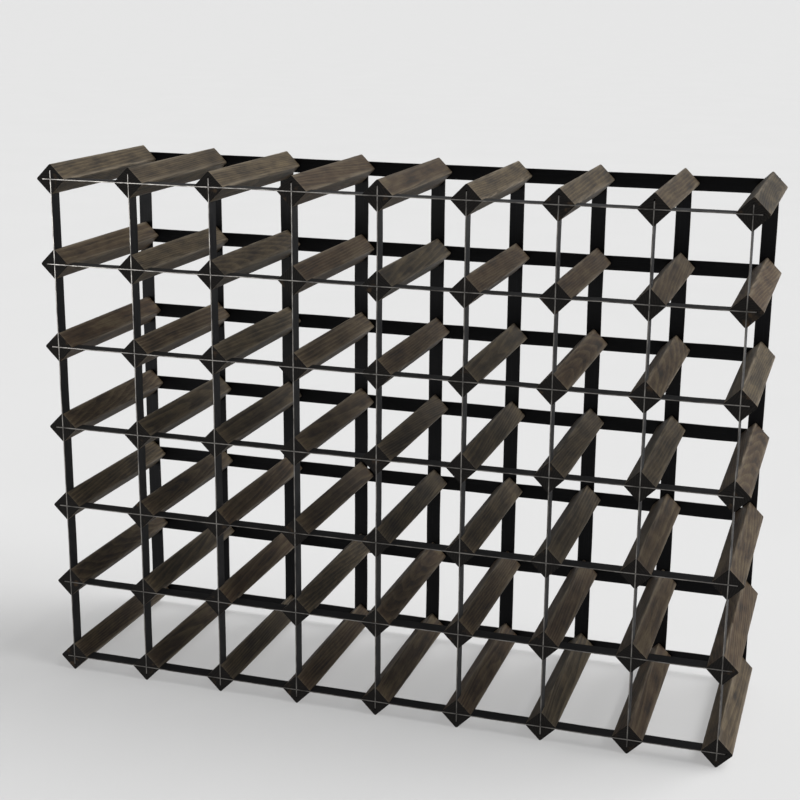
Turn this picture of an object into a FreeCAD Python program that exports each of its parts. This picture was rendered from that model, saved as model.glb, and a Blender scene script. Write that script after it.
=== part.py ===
import FreeCAD, Part
import Sketcher
import os

# A rack of square timber bars, set on the diamond and lying front to back in rows and columns.
# At the front, steel strips on edge are half-lapped into a grid and sit in saw kerfs in the bars.
# A kerf runs out of the bar where its strip goes on, and stops in the wood where the strip ends.
# At the back, flat strips cross behind each bar, and one nail holds both of them to it.
# X runs across, Y from front to back and Z up. The origin is under the middle of the rack, at the
# height of the bottom bars' lowest flats. Rows are numbered from the bottom, columns from the left.

# Driving dimensions in millimetres, then the two counts. Each one is a cell of the sheet.
driving_dimensions = {
    "pitch": 96.0,  # from one bar's middle to the next, across and up
    "bar_side": 25.0,  # the square bar before its arrises are eased
    "bar_length": 228.0,
    "arris_flat": 1.6,  # width of the small flat along each eased arris
    "strip_thickness": 1.2,
    "front_strip_depth": 17.5,
    "rear_strip_width": 17.0,
    "strip_overhang": 10.0,  # how far a strip's end passes the middle of the outermost bar
    "kerf_width": 1.4,
    "kerf_end_room": 0.5,  # a kerf that stops inside the bar stops this far past the strip's end
    "lap_slot_width": 1.5,
    "lap_slack": 0.2,  # how far each lap slot passes the middle of the strip
    "nail_diameter": 2.2,
    "nail_hole_diameter": 2.3,
    "nail_length": 32.0,  # below the head, point included
    "nail_point_length": 4.0,
    "nail_head_diameter": 6.0,
    "nail_head_height": 1.0,
    "pilot_depth": 31.0,
    "columns": 9,
    "rows": 7,
}

column_count = int(driving_dimensions["columns"])
row_count = int(driving_dimensions["rows"])

# Three bars stand side by side in each bar node, so a row of nine is a left, a middle and a right node.
bars_per_node = 3
bar_thirds = ["left", "middle", "right"]

# Expressions that several sub-parts share.
bar_reach = "(dims.bar_side / sqrt(2) - dims.arris_flat / 2)"
front_face_y = "-(dims.bar_length + 2 * dims.strip_thickness + dims.nail_head_height) / 2"
rear_face_y = f"({front_face_y} + dims.bar_length)"
left_column_x = "-(dims.columns - 1) * dims.pitch / 2"
grid_width = "(dims.columns - 1) * dims.pitch"
grid_height = "(dims.rows - 1) * dims.pitch"
slot_overrun = 2.0  # a cutting sketch passes the edge that it opens by this much


def column_x(column):
    return f"{left_column_x} + {column - 1} * dims.pitch"


def row_z(row):
    return f"{bar_reach} + {row - 1} * dims.pitch"


def make_sheet(doc):
    sheet = doc.addObject("Spreadsheet::Sheet", "dims")
    for line, (alias, value) in enumerate(driving_dimensions.items(), start=1):
        sheet.set(f"A{line}", str(value))
        sheet.setAlias(f"A{line}", alias)
    doc.recompute()
    return sheet


def new_body(doc, label, x, y, z):
    body = doc.addObject("PartDesign::Body", label)
    body.Label = label
    body.setExpression("Placement.Base.x", x)
    body.setExpression("Placement.Base.y", y)
    body.setExpression("Placement.Base.z", z)
    return body


def origin_feature(body, role):
    for feature in body.Origin.OriginFeatures:
        if feature.Role == role:
            return feature
    raise ValueError(f"{body.Label} has no {role}")


def new_sketch(body, name, plane):
    sketch = body.newObject("Sketcher::SketchObject", name)
    sketch.AttachmentSupport = [(origin_feature(body, plane), "")]
    sketch.MapMode = "FlatFace"
    return sketch


def bind(sketch, name, constraint, expression):
    index = sketch.addConstraint(constraint)
    sketch.renameConstraint(index, name)
    sketch.setExpression(f"Constraints.{name}", expression)


def closed_outline(sketch, points):
    """Draw straight lines through the points and back to the first, joined end to end."""
    count = len(points)
    corners = [FreeCAD.Vector(x, y, 0) for x, y in points]
    for index in range(count):
        sketch.addGeometry(Part.LineSegment(corners[index], corners[(index + 1) % count]), False)
    for index in range(count):
        sketch.addConstraint(Sketcher.Constraint("Coincident", index, 2, (index + 1) % count, 1))


def rectangle(sketch, left, low, width, height):
    """Draw a level rectangle; the four sizes are expressions, measured from the sketch's origin."""
    closed_outline(sketch, [(-5, -5), (5, -5), (5, 5), (-5, 5)])
    for side, direction in enumerate(["Horizontal", "Vertical", "Horizontal", "Vertical"]):
        sketch.addConstraint(Sketcher.Constraint(direction, side))
    bind(sketch, "left_edge", Sketcher.Constraint("DistanceX", -1, 1, 0, 1, -5), left)
    bind(sketch, "low_edge", Sketcher.Constraint("DistanceY", -1, 1, 0, 1, -5), low)
    bind(sketch, "across", Sketcher.Constraint("DistanceX", 0, 1, 0, 2, 10), width)
    bind(sketch, "upward", Sketcher.Constraint("DistanceY", 1, 1, 1, 2, 10), height)


def circle(sketch, diameter):
    sketch.addGeometry(Part.Circle(FreeCAD.Vector(0, 0, 0), FreeCAD.Vector(0, 0, 1), 1), False)
    sketch.addConstraint(Sketcher.Constraint("Coincident", 0, 3, -1, 1))
    bind(sketch, "width_over_all", Sketcher.Constraint("Diameter", 0, 2), diameter)


def pad(body, name, sketch, length, reverse=False, both_ways=False):
    feature = body.newObject("PartDesign::Pad", name)
    feature.Profile = sketch
    feature.Reversed = reverse
    feature.Midplane = both_ways
    feature.setExpression("Length", length)
    return feature


def pocket(body, name, sketch, length, reverse=False, both_ways=False):
    feature = body.newObject("PartDesign::Pocket", name)
    feature.Profile = sketch
    feature.Reversed = reverse
    feature.Midplane = both_ways
    feature.setExpression("Length", length)
    return feature


def repeat(body, name, features, axis, count):
    """Repeat the features one pitch apart along an axis of the body."""
    pattern = body.newObject("PartDesign::LinearPattern", name)
    pattern.Originals = features
    pattern.Direction = (origin_feature(body, axis), [""])
    pattern.setExpression("Length", f"({count} - 1) * dims.pitch")
    pattern.setExpression("Occurrences", count)
    body.Tip = pattern
    return pattern


def bar_outline(sketch):
    """Draw the diamond: a flat at each of its four corners, joined by the bar's four faces."""
    closed_outline(sketch, [(-1, -17), (1, -17), (17, -1), (17, 1), (1, 17), (-1, 17), (-17, 1), (-17, -1)])
    flats = [
        (0, "low_flat", -2, "DistanceY", f"-{bar_reach}"),
        (2, "right_flat", -1, "DistanceX", bar_reach),
        (4, "top_flat", -2, "DistanceY", bar_reach),
        (6, "left_flat", -1, "DistanceX", f"-{bar_reach}"),
    ]
    for line, name, mirror_axis, measure, reach in flats:
        start = -17 if reach.startswith("-") else 17
        sketch.addConstraint(Sketcher.Constraint("Symmetric", line, 1, line, 2, mirror_axis))
        bind(sketch, f"{name}_place", Sketcher.Constraint(measure, -1, 1, line, 1, start), reach)
        bind(sketch, f"{name}_width", Sketcher.Constraint("Distance", line, 1, line, 2, 2), "dims.arris_flat")


def kerf_reach(strip_goes_on):
    """How far a kerf runs from the bar's middle: out of the wood, or just past the strip's end."""
    if strip_goes_on:
        return "dims.bar_side"
    return "(dims.strip_overhang + dims.kerf_end_room)"


def make_bars(doc, row, third):
    """Three bars of one row, kerfed crosswise at the front and drilled for a nail at the back."""
    first_column = third * bars_per_node + 1
    last_column = first_column + bars_per_node - 1
    label = f"bars_row_{row}_{bar_thirds[third]}"
    body = new_body(doc, label, column_x(first_column), front_face_y, row_z(row))
    section = new_sketch(body, f"{label}_section", "XZ_Plane")
    bar_outline(section)
    bar = pad(body, f"{label}_bar", section, "dims.bar_length", reverse=True)
    upright = new_sketch(body, f"{label}_upright", "XZ_Plane")
    low_reach = kerf_reach(row > 1)
    high_reach = kerf_reach(row < row_count)
    upright_length = f"{low_reach} + {high_reach}"
    rectangle(upright, "-dims.kerf_width / 2", f"-{low_reach}", "dims.kerf_width", upright_length)
    upright_kerf = pocket(body, f"{label}_upright_kerf", upright, "dims.front_strip_depth")
    hole = new_sketch(body, f"{label}_hole", "XZ_Plane")
    circle(hole, "dims.nail_hole_diameter")
    hole.setExpression("AttachmentOffset.Base.z", "-dims.bar_length")
    pilot = pocket(body, f"{label}_pilot", hole, "dims.pilot_depth", reverse=True)
    repeat(body, f"{label}_bars", [bar, upright_kerf, pilot], "X_Axis", str(bars_per_node))
    level = new_sketch(body, f"{label}_level", "XZ_Plane")
    left_reach = kerf_reach(first_column > 1)
    right_reach = kerf_reach(last_column < column_count)
    level_length = f"{left_reach} + ({bars_per_node} - 1) * dims.pitch + {right_reach}"
    rectangle(level, f"-{left_reach}", "-dims.kerf_width / 2", level_length, "dims.kerf_width")
    pocket(body, f"{label}_level_kerf", level, "dims.front_strip_depth")
    return body


def make_front_horizontal(doc, row):
    """A strip on edge that runs across the front of one row, slotted from behind at each upright."""
    label = f"front_horizontal_strip_{row}"
    body = new_body(doc, label, left_column_x, front_face_y, row_z(row))
    blank = new_sketch(body, f"{label}_blank", "XY_Plane")
    width = f"{grid_width} + 2 * dims.strip_overhang"
    rectangle(blank, "-dims.strip_overhang", "0", width, "dims.front_strip_depth")
    pad(body, f"{label}_strip", blank, "dims.strip_thickness", both_ways=True)
    slot = new_sketch(body, f"{label}_slot", "XY_Plane")
    slot_start = "dims.front_strip_depth / 2 - dims.lap_slack"
    slot_length = f"dims.front_strip_depth / 2 + dims.lap_slack + {slot_overrun}"
    rectangle(slot, "-dims.lap_slot_width / 2", slot_start, "dims.lap_slot_width", slot_length)
    cut = pocket(body, f"{label}_lap", slot, "dims.strip_thickness * 2", both_ways=True)
    repeat(body, f"{label}_laps", [cut], "X_Axis", "dims.columns")
    return body


def make_front_upright(doc, column):
    """A strip on edge that stands in front of one column, slotted from the front at each row."""
    label = f"front_upright_strip_{column}"
    body = new_body(doc, label, column_x(column), front_face_y, row_z(1))
    blank = new_sketch(body, f"{label}_blank", "YZ_Plane")
    height = f"{grid_height} + 2 * dims.strip_overhang"
    rectangle(blank, "0", "-dims.strip_overhang", "dims.front_strip_depth", height)
    pad(body, f"{label}_strip", blank, "dims.strip_thickness", both_ways=True)
    slot = new_sketch(body, f"{label}_slot", "YZ_Plane")
    slot_length = f"dims.front_strip_depth / 2 + dims.lap_slack + {slot_overrun}"
    rectangle(slot, f"-{slot_overrun}", "-dims.lap_slot_width / 2", slot_length, "dims.lap_slot_width")
    cut = pocket(body, f"{label}_lap", slot, "dims.strip_thickness * 2", both_ways=True)
    repeat(body, f"{label}_laps", [cut], "Z_Axis", "dims.rows")
    return body


def make_rear_upright(doc, column):
    """A flat strip that stands against the rear ends of one column, with a nail hole at each bar."""
    label = f"rear_upright_strip_{column}"
    body = new_body(doc, label, column_x(column), rear_face_y, row_z(1))
    blank = new_sketch(body, f"{label}_blank", "XZ_Plane")
    height = f"{grid_height} + 2 * dims.strip_overhang"
    rectangle(blank, "-dims.rear_strip_width / 2", "-dims.strip_overhang", "dims.rear_strip_width", height)
    pad(body, f"{label}_strip", blank, "dims.strip_thickness", reverse=True)
    hole = new_sketch(body, f"{label}_hole", "XZ_Plane")
    circle(hole, "dims.nail_hole_diameter")
    cut = pocket(body, f"{label}_nail_hole", hole, "dims.strip_thickness * 3", both_ways=True)
    repeat(body, f"{label}_nail_holes", [cut], "Z_Axis", "dims.rows")
    return body


def make_rear_horizontal(doc, row):
    """A flat strip that crosses behind the rear uprights at one row, with a nail hole at each bar."""
    label = f"rear_horizontal_strip_{row}"
    body = new_body(doc, label, left_column_x, f"{rear_face_y} + dims.strip_thickness", row_z(row))
    blank = new_sketch(body, f"{label}_blank", "XZ_Plane")
    width = f"{grid_width} + 2 * dims.strip_overhang"
    rectangle(blank, "-dims.strip_overhang", "-dims.rear_strip_width / 2", width, "dims.rear_strip_width")
    pad(body, f"{label}_strip", blank, "dims.strip_thickness", reverse=True)
    hole = new_sketch(body, f"{label}_hole", "XZ_Plane")
    circle(hole, "dims.nail_hole_diameter")
    cut = pocket(body, f"{label}_nail_hole", hole, "dims.strip_thickness * 3", both_ways=True)
    repeat(body, f"{label}_nail_holes", [cut], "X_Axis", "dims.columns")
    return body


def make_nails(doc):
    """One round-headed nail, turned about its own axis, and then repeated at every crossing."""
    label = "rear_nails"
    body = new_body(doc, label, left_column_x, f"{rear_face_y} + 2 * dims.strip_thickness", row_z(1))
    half = new_sketch(body, f"{label}_half", "XY_Plane")
    closed_outline(half, [(0, 1), (3, 1), (3, 0), (1, 0), (1, -28), (0, -32)])
    for line, direction in enumerate(["Horizontal", "Vertical", "Horizontal", "Vertical"]):
        half.addConstraint(Sketcher.Constraint(direction, line))
    half.addConstraint(Sketcher.Constraint("Vertical", 5))
    bind(half, "axis_place", Sketcher.Constraint("DistanceX", -1, 1, 0, 1, 0), "0")
    bind(half, "head_top", Sketcher.Constraint("DistanceY", -1, 1, 0, 1, 1), "dims.nail_head_height")
    bind(half, "head_radius", Sketcher.Constraint("DistanceX", 0, 1, 0, 2, 3), "dims.nail_head_diameter / 2")
    bind(half, "head_height", Sketcher.Constraint("DistanceY", 1, 2, 1, 1, 1), "dims.nail_head_height")
    bind(half, "shank_radius", Sketcher.Constraint("DistanceX", -1, 1, 3, 1, 1), "dims.nail_diameter / 2")
    shank = "dims.nail_length - dims.nail_point_length"
    bind(half, "shank_length", Sketcher.Constraint("DistanceY", 3, 2, 3, 1, 28), shank)
    bind(half, "point_length", Sketcher.Constraint("DistanceY", 4, 2, 4, 1, 4), "dims.nail_point_length")
    nail = body.newObject("PartDesign::Revolution", f"{label}_nail")
    nail.Profile = half
    nail.ReferenceAxis = (origin_feature(body, "Y_Axis"), [""])
    nail.Angle = 360
    pattern = repeat(body, f"{label}_all", [nail], "X_Axis", "dims.columns")
    pattern.Direction2 = (origin_feature(body, "Z_Axis"), [""])
    pattern.setExpression("Length2", grid_height)
    pattern.setExpression("Occurrences2", "dims.rows")
    return body


def make_rack(doc):
    bodies = []
    for row in range(1, row_count + 1):
        for third in range(len(bar_thirds)):
            bodies.append(make_bars(doc, row, third))
        bodies.append(make_front_horizontal(doc, row))
        bodies.append(make_rear_horizontal(doc, row))
    for column in range(1, column_count + 1):
        bodies.append(make_front_upright(doc, column))
        bodies.append(make_rear_upright(doc, column))
    bodies.append(make_nails(doc))
    return bodies


def expected_solids(label):
    if label.startswith("bars_"):
        return bars_per_node
    if label == "rear_nails":
        return column_count * row_count
    return 1


def check_features(doc):
    """Stop if any object of the document failed, or if a cutting feature removed nothing."""
    for feature in doc.Objects:
        if "Invalid" in feature.State or "Error" in feature.State:
            raise RuntimeError(f"{feature.Name} failed: {feature.State}")
        if feature.TypeId == "PartDesign::Pocket":
            before = feature.BaseFeature.Shape.Volume
            if feature.Shape.Volume >= before - 1e-3:
                raise RuntimeError(f"{feature.Name} cut nothing")


def check_bodies(bodies):
    for body in bodies:
        shape = body.Shape
        if shape.isNull() or not shape.isValid():
            raise RuntimeError(f"{body.Label} has no valid shape")
        if len(shape.Solids) != expected_solids(body.Label):
            raise RuntimeError(f"{body.Label} has {len(shape.Solids)} solids")


def write_bodies(bodies):
    os.makedirs("parts", exist_ok=True)
    for body in bodies:
        body.Shape.exportStep(f"parts/{body.Label}.step")


doc = FreeCAD.newDocument("wine_rack")
make_sheet(doc)
rack = make_rack(doc)
doc.recompute()
check_features(doc)
check_bodies(rack)
write_bodies(rack)
print(f"{len(rack)} sub-parts written, {sum(len(body.Shape.Solids) for body in rack)} solids")
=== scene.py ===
import math
import random

import bmesh
import bpy
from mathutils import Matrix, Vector, noise


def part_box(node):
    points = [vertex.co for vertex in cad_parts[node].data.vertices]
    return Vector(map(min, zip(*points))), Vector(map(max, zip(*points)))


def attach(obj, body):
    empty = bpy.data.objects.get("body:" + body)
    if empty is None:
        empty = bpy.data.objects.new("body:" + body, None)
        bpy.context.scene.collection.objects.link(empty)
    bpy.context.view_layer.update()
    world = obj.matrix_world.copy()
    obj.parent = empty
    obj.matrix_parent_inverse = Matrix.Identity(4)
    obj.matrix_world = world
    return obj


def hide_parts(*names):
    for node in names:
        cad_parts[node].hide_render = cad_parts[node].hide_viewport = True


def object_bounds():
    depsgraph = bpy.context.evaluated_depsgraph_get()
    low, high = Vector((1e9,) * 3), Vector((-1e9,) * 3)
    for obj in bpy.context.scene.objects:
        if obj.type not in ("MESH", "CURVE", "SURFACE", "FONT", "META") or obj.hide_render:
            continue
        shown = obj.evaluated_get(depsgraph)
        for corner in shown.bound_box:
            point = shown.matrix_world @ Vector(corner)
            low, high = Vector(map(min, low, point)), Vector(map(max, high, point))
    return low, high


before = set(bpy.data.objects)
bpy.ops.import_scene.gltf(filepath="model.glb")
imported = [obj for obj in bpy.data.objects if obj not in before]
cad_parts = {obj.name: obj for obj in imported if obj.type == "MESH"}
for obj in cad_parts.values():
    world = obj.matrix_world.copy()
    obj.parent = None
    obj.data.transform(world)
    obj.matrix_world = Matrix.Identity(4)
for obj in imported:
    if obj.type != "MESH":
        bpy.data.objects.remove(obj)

# Wine rack: square pine bars set on the diamond, held front and back by black steel strips.
# Everything is in metres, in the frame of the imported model, and every place is read from it.

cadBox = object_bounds()
mm = 0.001
columnCount = 9
rowCount = 7
barsPerNode = 3
barThirds = ("left", "middle", "right")
dice = random.Random(7)  # every random choice below comes from here, in the same order each run


def barBox(row, third):
    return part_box(f"bars_row_{row}_{barThirds[third]}")


lowBar, highBar = barBox(1, 0)
barReach = (highBar.z - lowBar.z) / 2  # from a bar's middle to its eased arris
barFront = lowBar.y
barRear = highBar.y
pitch = (highBar.x - lowBar.x - 2 * barReach) / (barsPerNode - 1)
columnX = [lowBar.x + barReach + c * pitch for c in range(columnCount)]
rowZ = [(barBox(r + 1, 0)[0].z + barBox(r + 1, 0)[1].z) / 2 for r in range(rowCount)]
stripOverhang = columnX[0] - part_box("front_horizontal_strip_1")[0].x
print("frame loaded:", len(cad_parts), "nodes")


def fromHex(code):
    # sRGB hex to the linear colour that a shader wants
    parts = [int(code[i:i + 2], 16) / 255 for i in (1, 3, 5)]
    return tuple(p / 12.92 if p <= 0.04045 else ((p + 0.055) / 1.055) ** 2.4 for p in parts) + (1.0,)


def addNode(tree, kind, inputs=None, stops=None, **settings):
    # a node with its settings; an input given a node or a socket is linked, anything else is its value,
    # and a ramp takes its stops as (place, hex or grey level)
    node = tree.nodes.new(kind)
    for name, value in settings.items():
        setattr(node, name, value)
    for key, value in (inputs or {}).items():
        if isinstance(value, bpy.types.Node):
            value = next(output for output in value.outputs if output.enabled)
        if isinstance(value, bpy.types.NodeSocket):
            tree.links.new(value, node.inputs[key])
        else:
            node.inputs[key].default_value = value
    if stops:
        elements = node.color_ramp.elements
        while len(elements) < len(stops):
            elements.new(0.5)
        for element, (place, colour) in zip(elements, stops):
            element.position = place
            element.color = fromHex(colour) if isinstance(colour, str) else (colour, colour, colour, 1.0)
    return node


def perMm(*sizes):
    # the scale that gives a noise features of these sizes in mm along the three axes
    return [1 / size for size in sizes]


def newMaterial(name):
    material = bpy.data.materials.new(name)
    material.use_nodes = True
    material.node_tree.nodes.clear()
    return material, material.node_tree


stainedPine = {
    "latewood": "#5b4f3b",  # the hard part of each ring, where the stain sat thin
    "midStain": "#3e3629",
    "earlywood": "#211b15",  # the soft part, which drank the stain
    # paler arrises: partly worn by handling, partly a painted highlight where light catches the edge
    "redderStain": "#453526",  # some bars took the stain browner
    "knot": "#1b1511",
    "pore": "#15110e",
    "arrisWearAndHighlightColour": "#7d7364",
    "sawnDark": "#0f0e0d",
    "sawnLight": "#252220",
    "brownEndPatch": "#46382a",  # paler brown patches on a few sawn ends
    "ringSpacing": 2.6,  # mm between growth rings
    "ringWander": (7.0, 0.0, 7.0),  # mm that the rings wander off true circles
    "bendSize": (26, 190, 26),  # pattern sizes are in mm of log, the middle one along it
    "fibreSize": (0.8, 40, 0.8),
    "streakSize": (2.6, 110, 2.6),
    "blotchSize": (15, 38, 15),
    "poreSize": (0.7, 11, 0.7),
    "knotCell": (46, 120, 46),  # the room for each knot that there may be
    "knotLuck": 0.55,  # the share of those cells that have no knot
    "fuzzSize": (0.8, 2.5, 0.8),
    "scratchSize": (9.0, 3.0, 0.5),
    "brownPatchSize": (14, 30, 14),
    "ringShare": 0.26,  # how much each pattern moves the stain's depth
    "fibreShare": 0.65,
    "streakShare": 0.48,
    "blotchShare": 0.76,
    "depthStart": -0.54,  # brings their sum back to a middle near 0.5
    "endRingShare": 0.34,  # and the same on sawn ends
    "endFuzzShare": 0.45,
    "endScratchShare": 0.25,
    "roughness": 0.6,
    "endRoughness": 0.8,
    "grainRelief": 0.25 * mm,
}


def pineRings(tree, point):
    # how near the latewood of a growth ring: cylinders about the pith, bent a little as real ones are
    look = stainedPine
    bendAt = addNode(tree, "ShaderNodeMapping", {"Vector": point, "Scale": perMm(*look["bendSize"])})
    bend = addNode(tree, "ShaderNodeTexNoise", {"Vector": bendAt, "Scale": 1.0, "Detail": 2.0})
    bent = addNode(tree, "ShaderNodeVectorMath", {
        0: bend.outputs["Color"], 1: look["ringWander"], 2: point}, operation="MULTIPLY_ADD")
    across = addNode(tree, "ShaderNodeVectorMath", {0: bent, 1: (1.0, 0.0, 1.0)}, operation="MULTIPLY")
    radius = addNode(tree, "ShaderNodeVectorMath", {0: across}, operation="LENGTH")
    rings = addNode(tree, "ShaderNodeMath", {0: radius, 1: look["ringSpacing"]}, operation="DIVIDE")
    ring = addNode(tree, "ShaderNodeMath", {0: rings}, operation="FRACT")
    return addNode(tree, "ShaderNodeValToRGB", {"Fac": ring},
                   stops=[(0.0, 0.1), (0.4, 0.2), (0.72, 0.75), (0.9, 1.0), (1.0, 0.1)])


def makeStainedPine():
    # planed pine under a thin dark oil stain: a matt grey-brown that shows ring lines, fibre
    # streaks and an odd knot, with the arrises paler, partly worn by rubbing and partly a painted
    # highlight
    material, tree = newMaterial("darkStainedPlanedPine")
    look = stainedPine
    point = addNode(tree, "ShaderNodeAttribute", attribute_name="logPoint").outputs["Vector"]
    arris = addNode(tree, "ShaderNodeAttribute", attribute_name="arrisWearAndHighlightMask").outputs["Fac"]
    tone = addNode(tree, "ShaderNodeAttribute", attribute_name="barTone").outputs["Fac"]
    redness = addNode(tree, "ShaderNodeAttribute", attribute_name="barRedness").outputs["Fac"]
    rings = pineRings(tree, point)

    fibreAt = addNode(tree, "ShaderNodeMapping", {"Vector": point, "Scale": perMm(*look["fibreSize"])})
    fibre = addNode(tree, "ShaderNodeTexNoise", {
        "Vector": fibreAt, "Scale": 1.0, "Detail": 3.0, "Roughness": 0.65})
    streakAt = addNode(tree, "ShaderNodeMapping", {"Vector": point, "Scale": perMm(*look["streakSize"])})
    streak = addNode(tree, "ShaderNodeTexNoise", {
        "Vector": streakAt, "Scale": 1.0, "Detail": 3.0, "Roughness": 0.6})
    blotchAt = addNode(tree, "ShaderNodeMapping", {"Vector": point, "Scale": perMm(*look["blotchSize"])})
    blotch = addNode(tree, "ShaderNodeTexNoise", {"Vector": blotchAt, "Scale": 1.0, "Detail": 3.0})

    # rings, fibres, streaks and the stain's own clouds added up
    depth = look["depthStart"]
    for pattern, share in ((rings, "ringShare"), (fibre, "fibreShare"), (streak, "streakShare"),
                           (blotch, "blotchShare")):
        depth = addNode(tree, "ShaderNodeMath", {0: pattern, 1: look[share], 2: depth},
                        operation="MULTIPLY_ADD")
    greyer = addNode(tree, "ShaderNodeValToRGB", {"Fac": depth}, stops=[
        (0.25, look["earlywood"]), (0.48, look["midStain"]), (0.78, look["latewood"])])
    redder = addNode(tree, "ShaderNodeValToRGB", {"Fac": depth}, stops=[
        (0.25, look["earlywood"]), (0.48, look["redderStain"]), (0.78, look["latewood"])])
    colour = addNode(tree, "ShaderNodeMix", {0: redness, 6: greyer, 7: redder}, data_type="RGBA")

    # pores are finer than this in pine; they are drawn as coarse as they need to show
    poreAt = addNode(tree, "ShaderNodeMapping", {"Vector": point, "Scale": perMm(*look["poreSize"])})
    pores = addNode(tree, "ShaderNodeTexNoise", {"Vector": poreAt, "Scale": 1.0, "Detail": 1.0})
    poreMask = addNode(tree, "ShaderNodeValToRGB", {"Fac": pores}, stops=[(0.33, 0.4), (0.42, 0.0)])
    colour = addNode(tree, "ShaderNodeMix", {
        0: poreMask, 6: colour, 7: fromHex(look["pore"])}, data_type="RGBA")

    # a knot here and there: over half the cells are left out, the rest give a round dark eye with a halo
    knotAt = addNode(tree, "ShaderNodeMapping", {"Vector": point, "Scale": perMm(*look["knotCell"])})
    knot = addNode(tree, "ShaderNodeTexVoronoi", {"Vector": knotAt, "Scale": 1.0, "Randomness": 1.0})
    luck = addNode(tree, "ShaderNodeSeparateColor", {0: knot.outputs["Color"]})
    chosen = addNode(tree, "ShaderNodeMath", {0: luck, 1: look["knotLuck"]}, operation="GREATER_THAN")
    eye = addNode(tree, "ShaderNodeValToRGB", {"Fac": knot.outputs["Distance"]},
                  stops=[(0.0, 0.85), (0.07, 0.75), (0.13, 0.25), (0.24, 0.1), (0.32, 0.0)])
    knotMask = addNode(tree, "ShaderNodeMath", {0: eye, 1: chosen}, operation="MULTIPLY")
    colour = addNode(tree, "ShaderNodeMix", {
        0: knotMask, 6: colour, 7: fromHex(look["knot"])}, data_type="RGBA")

    # arrises and the sawn front edge painted paler: partly worn by rubbing, partly a painted highlight
    patchy = addNode(tree, "ShaderNodeValToRGB", {"Fac": streak}, stops=[(0.4, 0.15), (0.62, 0.9)])
    edgeWearAndHighlight = addNode(tree, "ShaderNodeMath", {0: patchy, 1: arris}, operation="MULTIPLY")
    colour = addNode(tree, "ShaderNodeMix", {
        0: edgeWearAndHighlight, 6: colour, 7: fromHex(look["arrisWearAndHighlightColour"])}, data_type="RGBA")
    toned = addNode(tree, "ShaderNodeHueSaturation", {"Color": colour, "Value": tone})

    rough = addNode(tree, "ShaderNodeMath", {
        0: fibre, 1: 0.25, 2: look["roughness"] - 0.12}, operation="MULTIPLY_ADD")
    grain = addNode(tree, "ShaderNodeMath", {0: rings, 1: 0.35, 2: fibre}, operation="MULTIPLY_ADD")
    bump = addNode(tree, "ShaderNodeBump", {
        "Height": grain, "Strength": 0.5, "Distance": look["grainRelief"]})
    shader = addNode(tree, "ShaderNodeBsdfPrincipled", {
        "Base Color": toned, "Roughness": rough, "IOR": 1.5, "Specular IOR Level": 0.18, "Normal": bump,
    })
    addNode(tree, "ShaderNodeOutputMaterial", {"Surface": shader})
    return material


def makeSawnPine():
    # sawn end grain and kerf walls: the open fibres soak up stain, so it is almost black, with
    # faint ring bands and the saw's scratches
    material, tree = newMaterial("darkStainedSawnEndGrain")
    look = stainedPine
    point = addNode(tree, "ShaderNodeAttribute", attribute_name="logPoint").outputs["Vector"]
    rings = pineRings(tree, point)
    fuzzAt = addNode(tree, "ShaderNodeMapping", {"Vector": point, "Scale": perMm(*look["fuzzSize"])})
    fuzz = addNode(tree, "ShaderNodeTexNoise", {
        "Vector": fuzzAt, "Scale": 1.0, "Detail": 3.0, "Roughness": 0.65})
    scratchAt = addNode(tree, "ShaderNodeMapping", {"Vector": point, "Scale": perMm(*look["scratchSize"])})
    scratch = addNode(tree, "ShaderNodeTexNoise", {"Vector": scratchAt, "Scale": 1.0, "Detail": 2.0})
    shade = 0.0
    for pattern, share in ((rings, "endRingShare"), (fuzz, "endFuzzShare"), (scratch, "endScratchShare")):
        shade = addNode(tree, "ShaderNodeMath", {0: pattern, 1: look[share], 2: shade},
                        operation="MULTIPLY_ADD")
    colour = addNode(tree, "ShaderNodeValToRGB", {"Fac": shade}, stops=[
        (0.3, look["sawnDark"]), (0.85, look["sawnLight"])])
    # paler brown patches scattered at random over the sawn ends
    brownPatchAt = addNode(tree, "ShaderNodeMapping", {"Vector": point, "Scale": perMm(*look["brownPatchSize"])})
    brownPatchNoise = addNode(tree, "ShaderNodeTexNoise", {"Vector": brownPatchAt, "Scale": 1.0, "Detail": 3.0})
    brownPatchMask = addNode(tree, "ShaderNodeValToRGB", {"Fac": brownPatchNoise}, stops=[(0.62, 0.0), (0.72, 0.7)])
    colour = addNode(tree, "ShaderNodeMix", {0: brownPatchMask, 6: colour, 7: fromHex(look["brownEndPatch"])},
                     data_type="RGBA")
    relief = addNode(tree, "ShaderNodeMath", {0: fuzz, 1: scratch}, operation="ADD")
    bump = addNode(tree, "ShaderNodeBump", {
        "Height": relief, "Strength": 0.6, "Distance": look["grainRelief"]})
    shader = addNode(tree, "ShaderNodeBsdfPrincipled", {
        "Base Color": colour, "Roughness": look["endRoughness"], "IOR": 1.5, "Specular IOR Level": 0.15,
        "Normal": bump,
    })
    addNode(tree, "ShaderNodeOutputMaterial", {"Surface": shader})
    return material


stripSteel = {
    "lacquer": "#08080a",
    "lacquerCloud": "#0e0f12",
    "lacquerRubbed": "#1f2024",
    "lacquerRoughness": 0.5,
    "slitEdge": "#85827e",
    "slitEdgeDull": "#4b4947",
    "slitRoughness": 0.34,
    "nail": "#a7a7a5",
    "nailDull": "#6f6d69",
    "nailRoughness": 0.4,
}


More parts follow.
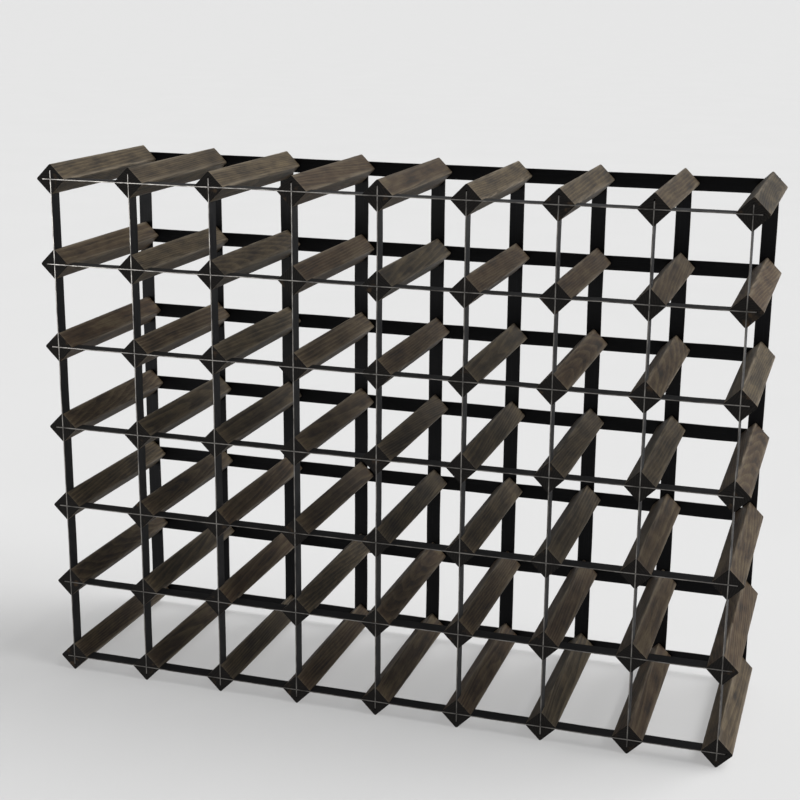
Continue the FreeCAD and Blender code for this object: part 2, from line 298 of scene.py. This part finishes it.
def makeBlackLacquer():
    # thin matt black lacquer on rolled strip: slightly cloudy, with fine rubs along the length
    material, tree = newMaterial("blackLacqueredStripSteel")
    look = stripSteel
    point = addNode(tree, "ShaderNodeAttribute", attribute_name="stripPoint").outputs["Vector"]
    cloudAt = addNode(tree, "ShaderNodeMapping", {"Vector": point, "Scale": perMm(30, 9, 9)})
    cloud = addNode(tree, "ShaderNodeTexNoise", {"Vector": cloudAt, "Scale": 1.0, "Detail": 3.0})
    rubAt = addNode(tree, "ShaderNodeMapping", {"Vector": point, "Scale": perMm(45, 0.8, 0.8)})
    rub = addNode(tree, "ShaderNodeTexNoise", {
        "Vector": rubAt, "Scale": 1.0, "Detail": 2.0, "Roughness": 0.6})
    rubMask = addNode(tree, "ShaderNodeValToRGB", {"Fac": rub}, stops=[(0.56, 0.0), (0.74, 0.55)])
    colour = addNode(tree, "ShaderNodeMix", {
        0: cloud, 6: fromHex(look["lacquer"]), 7: fromHex(look["lacquerCloud"])}, data_type="RGBA")
    colour = addNode(tree, "ShaderNodeMix", {0: rubMask, 6: colour, 7: fromHex(look["lacquerRubbed"])},
                     data_type="RGBA")
    rough = addNode(tree, "ShaderNodeMath", {0: cloud, 1: 0.2, 2: look["lacquerRoughness"] - 0.1},
                    operation="MULTIPLY_ADD")
    bump = addNode(tree, "ShaderNodeBump", {"Height": cloud, "Strength": 0.25, "Distance": 0.1 * mm})
    shader = addNode(tree, "ShaderNodeBsdfPrincipled", {
        "Base Color": colour, "Roughness": rough, "IOR": 1.5, "Specular IOR Level": 0.14, "Normal": bump,
    })
    addNode(tree, "ShaderNodeOutputMaterial", {"Surface": shader})
    return material


def makeSlitEdge():
    # the strip is slit from painted sheet, so its edges are bare: dull grey, finely scored along the cut
    material, tree = newMaterial("bareSlitEdgeSteel")
    look = stripSteel
    point = addNode(tree, "ShaderNodeAttribute", attribute_name="stripPoint").outputs["Vector"]
    dullAt = addNode(tree, "ShaderNodeMapping", {"Vector": point, "Scale": perMm(14, 4, 4)})
    dull = addNode(tree, "ShaderNodeTexNoise", {
        "Vector": dullAt, "Scale": 1.0, "Detail": 3.0, "Roughness": 0.6})
    scoreAt = addNode(tree, "ShaderNodeMapping", {"Vector": point, "Scale": perMm(7, 0.25, 0.25)})
    score = addNode(tree, "ShaderNodeTexNoise", {"Vector": scoreAt, "Scale": 1.0, "Detail": 2.0})
    dullMask = addNode(tree, "ShaderNodeValToRGB", {"Fac": dull}, stops=[(0.38, 0.0), (0.66, 1.0)])
    colour = addNode(tree, "ShaderNodeMix", {
        0: dullMask, 6: fromHex(look["slitEdge"]), 7: fromHex(look["slitEdgeDull"])}, data_type="RGBA")
    rough = addNode(tree, "ShaderNodeMath", {0: dull, 1: 0.25, 2: look["slitRoughness"] - 0.12},
                    operation="MULTIPLY_ADD")
    bump = addNode(tree, "ShaderNodeBump", {"Height": score, "Strength": 0.35, "Distance": 0.06 * mm})
    shader = addNode(tree, "ShaderNodeBsdfPrincipled", {
        "Base Color": colour, "Metallic": 1.0, "Roughness": rough, "Normal": bump,
    })
    addNode(tree, "ShaderNodeOutputMaterial", {"Surface": shader})
    return material


def makeNailSteel():
    # bright wire nail, dulled by handling, with a cloudy grey face
    material, tree = newMaterial("brightWireNailSteel")
    look = stripSteel
    point = addNode(tree, "ShaderNodeTexCoord").outputs["Object"]
    patch = addNode(tree, "ShaderNodeTexNoise", {"Vector": point, "Scale": 1 / (3 * mm), "Detail": 3.0})
    colour = addNode(tree, "ShaderNodeMix", {
        0: patch, 6: fromHex(look["nail"]), 7: fromHex(look["nailDull"])}, data_type="RGBA")
    rough = addNode(tree, "ShaderNodeMath", {0: patch, 1: 0.3, 2: look["nailRoughness"] - 0.15},
                    operation="MULTIPLY_ADD")
    bump = addNode(tree, "ShaderNodeBump", {"Height": patch, "Strength": 0.3, "Distance": 0.1 * mm})
    shader = addNode(tree, "ShaderNodeBsdfPrincipled", {
        "Base Color": colour, "Metallic": 1.0, "Roughness": rough, "Normal": bump,
    })
    addNode(tree, "ShaderNodeOutputMaterial", {"Surface": shader})
    return material


pineFace = makeStainedPine()
pineEnd = makeSawnPine()
blackLacquer = makeBlackLacquer()
slitEdge = makeSlitEdge()
nailSteel = makeNailSteel()
print("materials made")


rackPieces = bpy.data.collections.new("rackPieces")


def makePiece(name, mesh, materials, node):
    piece = bpy.data.objects.new(name, mesh)
    bpy.context.scene.collection.objects.link(piece)
    rackPieces.objects.link(piece)
    for material in materials:
        mesh.materials.append(material)
    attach(piece, "root")
    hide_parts(node)
    return piece


def pointAttribute(mesh, name, kind, values):
    attribute = mesh.attributes.new(name, kind, "POINT")
    if kind == "FLOAT_VECTOR":
        attribute.data.foreach_set("vector", [part for value in values for part in value])
    else:
        attribute.data.foreach_set("value", values)


bar = {
    "faceWidth": 25.0 * mm,  # the square bar before its arrises were sanded
    "kerfHalf": 0.7 * mm,  # half the saw kerf
    "kerfDepth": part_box("front_horizontal_strip_1")[1].y - barFront,
    "kerfEnd": stripOverhang + 0.5 * mm,  # where a kerf stops in the wood, from the bar's middle
    "arrisPoints": 7,  # along the sanded curve of an arris
    "facePoints": 5,  # between one arris and the next
    "lengthStep": 6 * mm,
    "prongShares": (0.0, 0.35, 0.7, 0.94, 1.0),  # sections from the kerf's floor out to the sawn front
    "ripple": 0.1 * mm,  # how far planing and drying leave a face off flat
    "rippleAcross": 90.0,  # per metre
    "rippleAlong": 22.0,
    "mostNicks": 4,  # on one arris
    "nickDepth": 0.55 * mm,
    "nickLength": 3.5 * mm,
    "thinned": 0.12 * mm,  # the most that one bar is under size
    "sawnBreak": 0.18 * mm,  # the small break on sawn edges
    "shortest": 0.5 * mm,  # a bar's end may stand back by up to this
    "wearAndHighlightWidth": 1.2 * mm,  # how far in from the arris it is painted paler, as a worn edge and a painted highlight
    "frontWearAndHighlight": 1.5 * mm,  # and how far back from the sawn front
    "frontShare": 0.7,
}
cornerReach = bar["faceWidth"] / math.sqrt(2)  # where two faces would meet
arrisRadius = (cornerReach - barReach) / (math.sqrt(2) - 1)
pointsPerQuarter = bar["arrisPoints"] + bar["facePoints"]
firstWall = 1  # the arris points where a kerf's two walls come out, and the one between them
lastWall = bar["arrisPoints"] - 2


def barOutline():
    # the section as (across, up, on an arris or not), anticlockwise from the right arris
    centre = cornerReach - arrisRadius * math.sqrt(2)
    wallAngle = math.asin(bar["kerfHalf"] / arrisRadius)
    inner = [wallAngle * (2 * k / (lastWall - firstWall) - 1) for k in range(lastWall - firstWall + 1)]
    angles = [-math.pi / 4, *inner, math.pi / 4]
    arc = [(centre + arrisRadius * math.cos(a), arrisRadius * math.sin(a)) for a in angles]
    start = arc[-1]
    end = (-arc[0][1], arc[0][0])  # the next arris starts here, a quarter turn on
    steps = bar["facePoints"] + 1
    face = [(start[0] + (end[0] - start[0]) * k / steps, start[1] + (end[1] - start[1]) * k / steps)
            for k in range(1, steps)]
    quarter = [(x, z, True) for x, z in arc] + [(x, z, False) for x, z in face]
    outline = []
    for turn in range(4):
        cosine, sine = ((1, 0), (0, 1), (-1, 0), (0, -1))[turn]
        outline += [(x * cosine - z * sine, x * sine + z * cosine, onArris) for x, z, onArris in quarter]
    return outline


outline = barOutline()


def barNicks():
    # where each arris was knocked in handling: (arris, place along, depth, length)
    nicks = []
    for arris in range(4):
        for _ in range(dice.randint(1, bar["mostNicks"])):
            along = dice.uniform(barFront + 0.02, barRear - 0.004)
            deep = bar["nickDepth"] * dice.uniform(0.25, 1.0)
            nicks.append((arris, along, deep, bar["nickLength"] * dice.uniform(0.4, 1.0)))
    return nicks


def pushIn(index, y, nicks, seed):
    # how far a surface point lies inside the true section at that place
    x, z, onArris = outline[index]
    across, along = bar["rippleAcross"], bar["rippleAlong"]
    depth = bar["ripple"] * (0.5 + 0.5 * noise.noise(Vector((x * across + seed, y * along, z * across))))
    if onArris:
        arris = index // pointsPerQuarter
        middle = (bar["arrisPoints"] - 1) / 2
        share = 1 - abs(index % pointsPerQuarter - middle) / (middle + 1)
        for at, place, deep, length in nicks:
            if at == arris:
                depth += deep * share * math.exp(-((y - place) / length) ** 2)
    return depth


def kerfArms(row, column):
    # right, top, left and bottom: true where the strip goes on, so that the kerf runs out of the wood
    return (column < columnCount - 1, row < rowCount - 1, column > 0, row > 0)


def prongGroups(arms):
    # in front of the kerf's floor the bar is in quarters, joined where a kerf stops in the wood
    groups = []
    for quarter in range(4):
        if arms[quarter]:
            group = [quarter]
            while not arms[(group[-1] + 1) % 4]:
                group.append((group[-1] + 1) % 4)
            groups.append(group)
    return groups


def buildBar(row, column):
    shape = bmesh.new()
    nicks = barNicks()
    seed = dice.uniform(0, 50)
    front = barFront + dice.uniform(0, bar["shortest"])
    thinned = dice.uniform(0, bar["thinned"])
    kerfFloor = barFront + bar["kerfDepth"]
    k = bar["kerfHalf"]
    centreX, centreZ = columnX[column], rowZ[row]
    arms = kerfArms(row, column)
    count = len(outline)

    def outerVert(index, y):
        x, z, onArris = outline[index]
        inward = 1 - (pushIn(index, y, nicks, seed) + thinned) / math.hypot(x, z)
        return shape.verts.new((centreX + x * inward, y, centreZ + z * inward))

    def innerVert(x, z, quarter, y):
        # a point of the kerf's wall, turned into its quarter
        cosine, sine = ((1, 0), (0, 1), (-1, 0), (0, -1))[quarter]
        return shape.verts.new((centreX + x * cosine - z * sine, y, centreZ + x * sine + z * cosine))

    bodySteps = round((barRear - kerfFloor) / bar["lengthStep"])
    rings = [[outerVert(i, kerfFloor + (barRear - kerfFloor) * s / bodySteps) for i in range(count)]
             for s in range(bodySteps + 1)]
    for first, second in zip(rings, rings[1:]):
        for i in range(count):
            j = (i + 1) % count
            shape.faces.new((first[i], first[j], second[j], second[i]))
    sawn = [shape.faces.new(rings[-1])]

    floorCorner = {}  # the kerf floor's corner in each quarter
    floorStop = {}  # and its two end corners where an arm stops in the wood
    for group in prongGroups(arms):
        first, last = group[0], group[-1]
        run = [(first * pointsPerQuarter + lastWall) % count]
        while run[-1] != ((last + 1) % 4) * pointsPerQuarter + firstWall:
            run.append((run[-1] + 1) % count)
        loops = []
        for step, share in enumerate(bar["prongShares"]):
            y = kerfFloor + (front - kerfFloor) * share
            outer = [rings[0][i] if step == 0 else outerVert(i, y) for i in run]
            inner = []
            for quarter in reversed(group):
                inner.append(innerVert(k, k, quarter, y))
                if step == 0:
                    floorCorner[quarter] = inner[-1]
                if quarter != first:  # the arm before this quarter stops in the wood
                    inner.append(innerVert(bar["kerfEnd"], k, quarter, y))
                    inner.append(innerVert(bar["kerfEnd"], -k, quarter, y))
                    if step == 0:
                        floorStop[quarter] = (inner[-1], inner[-2])
            loops.append(outer + inner)
        for near, far in zip(loops, loops[1:]):
            size = len(near)
            for i in range(size):
                j = (i + 1) % size
                wall = shape.faces.new((near[j], near[i], far[i], far[j]))
                if i >= len(run) - 1:
                    sawn.append(wall)
        sawn.append(shape.faces.new(list(reversed(loops[-1]))))
    floor = []
    for quarter in range(4):
        if arms[quarter]:
            base = quarter * pointsPerQuarter
            floor += [rings[0][base + p] for p in range(firstWall, lastWall + 1)]
        else:
            floor += floorStop[quarter]
        floor.append(floorCorner[quarter])
    sawn.append(shape.faces.new(list(reversed(floor))))

    bmesh.ops.recalc_face_normals(shape, faces=shape.faces)
    for face in sawn:
        face.material_index = 1
    sharp = [edge for edge in shape.edges
             if any(face.material_index for face in edge.link_faces)
             and edge.calc_face_angle() > math.radians(55)]
    bmesh.ops.bevel(shape, geom=sharp, offset=bar["sawnBreak"], segments=2, profile=0.5, affect="EDGES",
                    clamp_overlap=True, material=-1)
    for face in shape.faces:
        face.smooth = face.material_index == 0
    mesh = bpy.data.meshes.new(f"bar_row_{row + 1}_column_{column + 1}")
    shape.to_mesh(mesh)
    shape.free()
    addLogPoints(mesh, centreX, centreZ)
    node = f"bars_row_{row + 1}_{barThirds[column // barsPerNode]}"
    return makePiece(mesh.name, mesh, [pineFace, pineEnd], node)


log = {
    "fromPith": (8, 60),  # mm from the middle of the log to the middle of a bar
    "slope": 0.07,  # the most that a bar runs off the log's own direction, which gives the arched figure
    "length": 4000,  # mm
    "tone": (0.84, 1.16),  # how light a bar took the stain
}


def addLogPoints(mesh, centreX, centreZ):
    # each bar is cut from its own place in a log
    angle = dice.uniform(0, 2 * math.pi)
    offset = dice.uniform(*log["fromPith"])
    slopeX = dice.uniform(-log["slope"], log["slope"])
    slopeZ = dice.uniform(-log["slope"], log["slope"])
    start = dice.uniform(0, log["length"])
    tone = dice.uniform(*log["tone"])
    redness = dice.uniform(0, 1)
    points = []
    wearAndHighlightPerPoint = []
    for vertex in mesh.vertices:
        x, y, z = vertex.co.x - centreX, vertex.co.y - barFront, vertex.co.z - centreZ
        points.append((x / mm + offset * math.cos(angle) + slopeX * y / mm, y / mm + start,
                       z / mm + offset * math.sin(angle) + slopeZ * y / mm))
        # a paler band at the arrises and the sawn front: partly worn by rubbing, partly a painted
        # highlight
        fromArris = barReach - max(abs(x), abs(z))
        atArris = 1 - fromArris / bar["wearAndHighlightWidth"]
        atFront = bar["frontShare"] * (1 - y / bar["frontWearAndHighlight"])
        wearAndHighlightPerPoint.append(min(1.0, max(0.0, atArris, atFront)))
    pointAttribute(mesh, "logPoint", "FLOAT_VECTOR", points)
    pointAttribute(mesh, "arrisWearAndHighlightMask", "FLOAT", wearAndHighlightPerPoint)
    pointAttribute(mesh, "barTone", "FLOAT", [tone] * len(points))
    pointAttribute(mesh, "barRedness", "FLOAT", [redness] * len(points))


for row in range(rowCount):
    for column in range(columnCount):
        buildBar(row, column)
print("bars built:", rowCount * columnCount)


strip = {
    "edgeBreak": 0.2 * mm,  # slit edges are not quite sharp
    "bend": 0.35 * mm,  # how far a strip bows between two bars
    "step": 12 * mm,
    "trim": 1.8 * mm,  # the most that a strip's end is cut short
    "lapHalf": 0.75 * mm,  # half a lap slot's width
    "lapSlack": 0.2 * mm,
}


def steppedPlaces(low, high, fixed, step):
    # places from low to high, with the fixed ones kept and the gaps between them divided evenly
    marks = sorted({low, high, *[place for place in fixed if low < place < high]})
    places = [marks[0]]
    for near, far in zip(marks, marks[1:]):
        parts = max(1, round((far - near) / step))
        places += [near + (far - near) * part / parts for part in range(1, parts + 1)]
    return places


def buildStrip(name, alongs, acrosses, filled, toPoint):
    # a flat plate drawn as a grid of cells, some of them left out for the lap slots
    shape = bmesh.new()
    sides = [[[shape.verts.new(toPoint(along, across, side)) for across in acrosses] for along in alongs]
             for side in (0, 1)]
    cells = {(i, j) for i in range(len(alongs) - 1) for j in range(len(acrosses) - 1)
             if filled((alongs[i] + alongs[i + 1]) / 2, (acrosses[j] + acrosses[j + 1]) / 2)}
    for i, j in sorted(cells):
        for grid in sides:
            shape.faces.new((grid[i][j], grid[i + 1][j], grid[i + 1][j + 1], grid[i][j + 1]))
        walls = {
            (i - 1, j): ((i, j), (i, j + 1)),
            (i + 1, j): ((i + 1, j), (i + 1, j + 1)),
            (i, j - 1): ((i, j), (i + 1, j)),
            (i, j + 1): ((i, j + 1), (i + 1, j + 1)),
        }
        for neighbour, (p, q) in walls.items():
            if neighbour not in cells:
                corners = (sides[0][p[0]][p[1]], sides[0][q[0]][q[1]],
                           sides[1][q[0]][q[1]], sides[1][p[0]][p[1]])
                shape.faces.new(corners).material_index = 1
    bmesh.ops.delete(shape, geom=[v for v in shape.verts if not v.link_faces], context="VERTS")
    bmesh.ops.recalc_face_normals(shape, faces=shape.faces)
    sharp = [edge for edge in shape.edges if edge.calc_face_angle() > math.radians(60)]
    bmesh.ops.bevel(shape, geom=sharp, offset=strip["edgeBreak"], segments=1, profile=0.5, affect="EDGES",
                    clamp_overlap=True, material=1)
    mesh = bpy.data.meshes.new(name)
    shape.to_mesh(mesh)
    shape.free()
    return makePiece(name, mesh, [blackLacquer, slitEdge], name)


def trimmed(low, high):
    return low + dice.uniform(0, strip["trim"]), high - dice.uniform(0, strip["trim"])


def stripPoints(piece, lengthAxis):
    # pattern space in mm with the strip's length first, and a random start so that no two match
    start = dice.uniform(0, 3000)
    points = []
    for vertex in piece.data.vertices:
        place = [part / mm for part in vertex.co]
        length = place.pop(lengthAxis)
        points.append((length + start, place[0] + start, place[1]))
    pointAttribute(piece.data, "stripPoint", "FLOAT_VECTOR", points)


def bowBetween(marks):
    # a smooth bow that is nothing at each bar and at most strip["bend"] between two of them
    bows = [dice.uniform(-strip["bend"], strip["bend"]) for mark in marks]

    def bowAt(place):
        for mark, following, size in zip(marks, marks[1:], bows):
            if mark <= place <= following:
                return size * math.sin(math.pi * (place - mark) / (following - mark)) ** 2
        return 0.0
    return bowAt


def buildFrontHorizontal(row):
    name = f"front_horizontal_strip_{row + 1}"
    low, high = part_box(name)
    half = strip["lapHalf"]
    lap = (low.y + high.y) / 2 - strip["lapSlack"]
    slots = [x + side for x in columnX for side in (-half, half)]
    alongs = steppedPlaces(*trimmed(low.x, high.x), slots, strip["step"])
    bowAt = bowBetween(columnX)

    def filled(x, y):
        return y < lap or all(abs(x - column) > half for column in columnX)

    def toPoint(x, y, side):
        return (x, y, (low.z, high.z)[side] + bowAt(x))
    piece = buildStrip(name, alongs, [low.y, lap, high.y], filled, toPoint)
    stripPoints(piece, 0)


def buildFrontUpright(column):
    name = f"front_upright_strip_{column + 1}"
    low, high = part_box(name)
    half = strip["lapHalf"]
    lap = (low.y + high.y) / 2 + strip["lapSlack"]
    slots = [z + side for z in rowZ for side in (-half, half)]
    alongs = steppedPlaces(*trimmed(low.z, high.z), slots, strip["step"])
    bowAt = bowBetween(rowZ)

    def filled(z, y):
        return y > lap or all(abs(z - row) > half for row in rowZ)

    def toPoint(z, y, side):
        return ((low.x, high.x)[side] + bowAt(z), y, z)
    piece = buildStrip(name, alongs, [low.y, lap, high.y], filled, toPoint)
    stripPoints(piece, 2)


def buildRearStrip(name, upright):
    low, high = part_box(name)
    marks = rowZ if upright else columnX
    ends = ((low.z, high.z), (low.x, high.x))
    length, width = ends if upright else ends[::-1]
    alongs = steppedPlaces(*trimmed(*length), marks, strip["step"])
    acrosses = steppedPlaces(*width, [], strip["step"] / 2)
    bowAt = bowBetween(marks)

    def toPoint(along, across, side):
        y = (low.y, high.y)[side]
        if upright:
            return (across + bowAt(along), y, along)
        return (along, y, across + bowAt(along))
    piece = buildStrip(name, alongs, acrosses, lambda along, across: True, toPoint)
    stripPoints(piece, 2 if upright else 0)


for row in range(rowCount):
    buildFrontHorizontal(row)
    buildRearStrip(f"rear_horizontal_strip_{row + 1}", upright=False)
for column in range(columnCount):
    buildFrontUpright(column)
    buildRearStrip(f"rear_upright_strip_{column + 1}", upright=True)
print("strips built:", 2 * (rowCount + columnCount))


nail = {
    "headRadius": 3.0 * mm,
    "shankRadius": 1.1 * mm,
    "sides": 20,
    "point": 4.0 * mm,
    "crown": 0.12 * mm,  # how much the head's edge stands back from its middle
    "dimple": 0.05 * mm,
}


def nailProfile(tip, headFront, headRear):
    # from the middle of the head, round its edge and along the shank to the tip: (radius, y)
    radius = nail["headRadius"]
    thick = headRear - headFront
    return [
        (0.0, headRear - nail["dimple"]),
        (radius * 0.35, headRear),
        (radius * 0.8, headRear - nail["crown"]),
        (radius * 0.96, headRear - thick * 0.35),
        (radius, headRear - thick * 0.6),
        (radius * 0.97, headFront),
        (nail["shankRadius"], headFront),
        (nail["shankRadius"], tip + nail["point"]),
        (0.0, tip),
    ]


def buildNails():
    low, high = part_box("rear_nails")
    profile = nailProfile(low.y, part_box("rear_horizontal_strip_1")[1].y, high.y)
    shape = bmesh.new()
    sides = nail["sides"]
    for x in columnX:
        for z in rowZ:
            turn = dice.uniform(0, math.pi)
            rings = []
            for radius, y in profile:
                angles = [turn + 2 * math.pi * side / sides for side in range(sides)] if radius else [0.0]
                rings.append([shape.verts.new((x + radius * math.cos(a), y, z + radius * math.sin(a)))
                              for a in angles])
            for first, second in zip(rings, rings[1:]):
                for side in range(sides):
                    following = (side + 1) % sides
                    if len(first) == 1:
                        shape.faces.new((first[0], second[side], second[following]))
                    elif len(second) == 1:
                        shape.faces.new((first[side], first[following], second[0]))
                    else:
                        shape.faces.new((first[side], first[following], second[following], second[side]))
    bmesh.ops.recalc_face_normals(shape, faces=shape.faces)
    for face in shape.faces:
        face.smooth = True
    mesh = bpy.data.meshes.new("rear_nail_heads")
    shape.to_mesh(mesh)
    shape.free()
    return makePiece("rear_nail_heads", mesh, [nailSteel], "rear_nails")


buildNails()
print("nails built:", rowCount * columnCount)


studio = {
    "paper": "#b7b7b7",  # a mid grey, which the two lights on it bring up to a pale tone
    "paperMottle": "#b4b4b4",
    "floorSize": 400.0,
    "wall": "#e7e7e7",  # the far wall, where a view reaches past the floor
    "skyBright": "#f4f4f4",
    "skyDark": "#303030",
    "skyTowards": (0.6, 0.65, 0.45),  # the sky is brightest this way and darkest opposite
    "skyStrength": 0.46,
    "keyFrom": (0.66, 0.24, 0.72),  # the direction that the key light comes from
    "keyStrength": 3.0,
    "keyAngle": 60.0,  # degrees across: a wide source, so shadows are soft
    "fillPlace": (-1.6, -2.1, 0.4),
    "fillAim": (-0.35, -0.1, 0.4),
    "fillPower": 18.0,
    "fillSize": 0.7,
    "floorLightFrom": (0.0, -0.4, 0.92),  # a light for the paper alone
    "floorLightStrength": 2.6,
    "cameraPlace": (0.5067, -1.6335, 0.8039),
    "cameraTurn": (74.92, -0.46, 17.67),  # degrees about X, Y and Z
    "lens": 69.15,
}


def makeFloor():
    # seamless paper: matt, very slightly mottled
    material, tree = newMaterial("paleSeamlessPaper")
    point = addNode(tree, "ShaderNodeTexCoord").outputs["Object"]
    mottle = addNode(tree, "ShaderNodeTexNoise", {"Vector": point, "Scale": 3.0, "Detail": 2.0})
    colour = addNode(tree, "ShaderNodeMix", {
        0: mottle, 6: fromHex(studio["paper"]), 7: fromHex(studio["paperMottle"])}, data_type="RGBA")
    shader = addNode(tree, "ShaderNodeBsdfPrincipled", {
        "Base Color": colour, "Roughness": 0.9, "IOR": 1.45, "Specular IOR Level": 0.1,
    })
    addNode(tree, "ShaderNodeOutputMaterial", {"Surface": shader})
    half = studio["floorSize"] / 2
    mesh = bpy.data.meshes.new("floor")
    corners = [(-half, -half, 0), (half, -half, 0), (half, half, 0), (-half, half, 0)]
    mesh.from_pydata(corners, [], [(0, 1, 2, 3)])
    mesh.materials.append(material)
    floor = bpy.data.objects.new("floor", mesh)
    bpy.context.scene.collection.objects.link(floor)
    floor.location.z = cadBox[0].z - 0.2 * mm
    return floor


def makeSky():
    # the light comes mostly from behind the rack and its right; what is seen past the floor is plain
    world = bpy.data.worlds.new("studio")
    world.use_nodes = True
    tree = world.node_tree
    tree.nodes.clear()
    direction = addNode(tree, "ShaderNodeTexCoord").outputs["Generated"]
    towards = Vector(studio["skyTowards"]).normalized()
    facing = addNode(tree, "ShaderNodeVectorMath", {0: direction, 1: towards}, operation="DOT_PRODUCT")
    share = addNode(tree, "ShaderNodeMath", {0: facing, 1: 0.5, 2: 0.5}, operation="MULTIPLY_ADD")
    colour = addNode(tree, "ShaderNodeValToRGB", {"Fac": share},
                     stops=[(0.2, studio["skyDark"]), (0.85, studio["skyBright"])])
    sky = addNode(tree, "ShaderNodeBackground", {"Color": colour, "Strength": studio["skyStrength"]})
    wall = addNode(tree, "ShaderNodeBackground", {"Color": fromHex(studio["wall"]), "Strength": 1.0})
    seen = addNode(tree, "ShaderNodeLightPath").outputs["Is Camera Ray"]
    both = addNode(tree, "ShaderNodeMixShader", {0: seen, 1: sky, 2: wall})
    addNode(tree, "ShaderNodeOutputWorld", {"Surface": both})
    bpy.context.scene.world = world


def placeLamp(light, place, towards):
    lamp = bpy.data.objects.new(light.name, light)
    lamp.location = place
    lamp.rotation_euler = (Vector(place) - Vector(towards)).to_track_quat("Z", "Y").to_euler()
    lamp.visible_camera = False
    bpy.context.scene.collection.objects.link(lamp)
    return lamp


def makeLights(floor):
    key = bpy.data.lights.new("keyLight", "SUN")
    key.energy = studio["keyStrength"]
    key.angle = math.radians(studio["keyAngle"])
    placeLamp(key, studio["keyFrom"], (0, 0, 0))
    fill = bpy.data.lights.new("fillLight", "AREA")
    fill.energy = studio["fillPower"]
    fill.size = studio["fillSize"]
    lamp = placeLamp(fill, studio["fillPlace"], studio["fillAim"])
    lamp.light_linking.receiver_collection = rackPieces  # flagged off the floor, which it would burn out
    wash = bpy.data.lights.new("floorLight", "SUN")
    wash.energy = studio["floorLightStrength"]
    wash.use_shadow = False  # it lifts the rack's shadow on the paper
    lamp = placeLamp(wash, studio["floorLightFrom"], (0, 0, 0))
    paper = bpy.data.collections.new("paper")
    paper.objects.link(floor)
    lamp.light_linking.receiver_collection = paper


def makeCamera():
    lens = bpy.data.cameras.new("camera")
    lens.lens = studio["lens"]
    camera = bpy.data.objects.new("camera", lens)
    camera.location = studio["cameraPlace"]
    camera.rotation_euler = [math.radians(turn) for turn in studio["cameraTurn"]]
    bpy.context.scene.collection.objects.link(camera)
    bpy.context.scene.camera = camera


makeSky()
makeLights(makeFloor())
makeCamera()
bpy.context.scene.view_settings.view_transform = "Standard"
print("studio ready")
